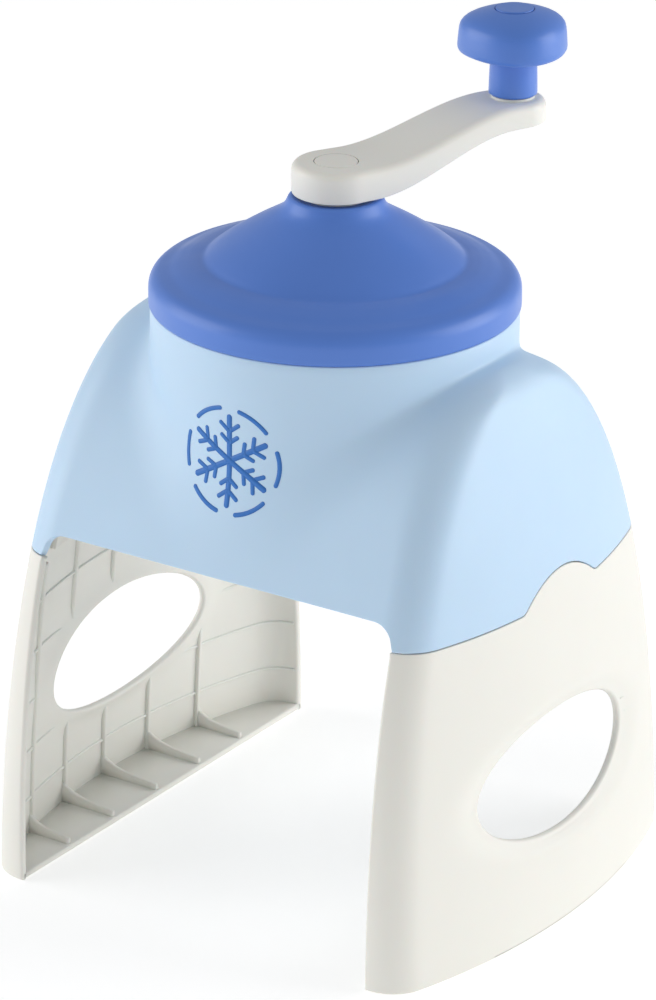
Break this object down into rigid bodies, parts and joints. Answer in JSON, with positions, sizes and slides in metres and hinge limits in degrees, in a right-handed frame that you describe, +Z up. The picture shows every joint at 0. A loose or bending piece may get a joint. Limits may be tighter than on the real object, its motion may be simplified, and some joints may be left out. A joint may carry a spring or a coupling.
{
  "type": "shaved ice machine",
  "caption": "Hand-cranked ice shaver: a pale blue housing on two open white legs, a lid with a crank and a spiked presser, and an adjustable blade under the ice chamber.",
  "frame": {"origin": "middle of the footprint, on the surface the legs stand on, on the crank's axis", "axes": "+Z up, -Y the front, +X to the right as seen from the front"},
  "size_m": [0.195, 0.1706, 0.2909],
  "materials": {
    "housing_blue": "satin moulded plastic, pale blue",
    "lid_blue": "satin moulded plastic, medium blue",
    "ivory": "satin moulded plastic, warm white",
    "steel": "plain stainless steel"
  },
  "bodies": {
    "stand": {"housing": "housing_blue", "hopper": "ivory", "leg_left": "ivory", "leg_right": "ivory", "leg_screws": "steel", "hopper_screws": "steel", "blade_bridge": "ivory", "bridge_screws": "steel"},
    "lid": {"lid": "lid_blue", "shaft_bush": "ivory"},
    "crank": {"crank_arm": "ivory", "crank_cap": "ivory", "crank_screw": "steel", "feed_screw": "ivory", "knob_pin": "steel", "knob_washer": "ivory"},
    "knob": {"knob": "lid_blue", "knob_cap": "lid_blue"},
    "thrust_washer": {"thrust_washer": "steel"},
    "presser": {"presser": "lid_blue", "presser_spikes": "steel"},
    "adjuster": {"adjuster_knob": "lid_blue", "adjuster_ring": "steel"},
    "blade_carrier": {"blade_carrier": "lid_blue", "blade": "steel", "blade_screws": "steel"}
  },
  "joints": [
    {"name": "lid_lift", "type": "slide", "parent": "stand", "child": "lid", "axis": [0, 0, 1], "range_m": [0, 0.08]},
    {"name": "crank_turn", "type": "hinge", "parent": "lid", "child": "crank", "pos_m": [0, 0, 0.238], "axis": [0, 0, -1], "continuous": true},
    {"name": "knob_spin", "type": "hinge", "parent": "crank", "child": "knob", "pos_m": [0.02971, 0.06172, 0.27], "axis": [0, 0, 1], "continuous": true},
    {"name": "presser_turn", "type": "hinge", "parent": "crank", "child": "thrust_washer", "pos_m": [0, 0, 0.2259], "axis": [0, 0, -1], "range_deg": [0, 1368]},
    {"name": "presser_feed", "type": "slide", "parent": "thrust_washer", "child": "presser", "axis": [0, 0, -1], "range_m": [0, 0.0381]},
    {"name": "adjuster_turn", "type": "hinge", "parent": "stand", "child": "adjuster", "pos_m": [0.022, 0, 0.1], "axis": [0, 0, 1], "range_deg": [0, 540]},
    {"name": "blade_lift", "type": "slide", "parent": "stand", "child": "blade_carrier", "axis": [0, 0, 1], "range_m": [0, 0.00121]}
  ],
  "couplings": [
    {"joint": "presser_feed", "follows": "presser_turn", "m_per_rad": 0.0015915},
    {"joint": "blade_lift", "follows": "adjuster_turn", "m_per_rad": 0.00012732}
  ]
}
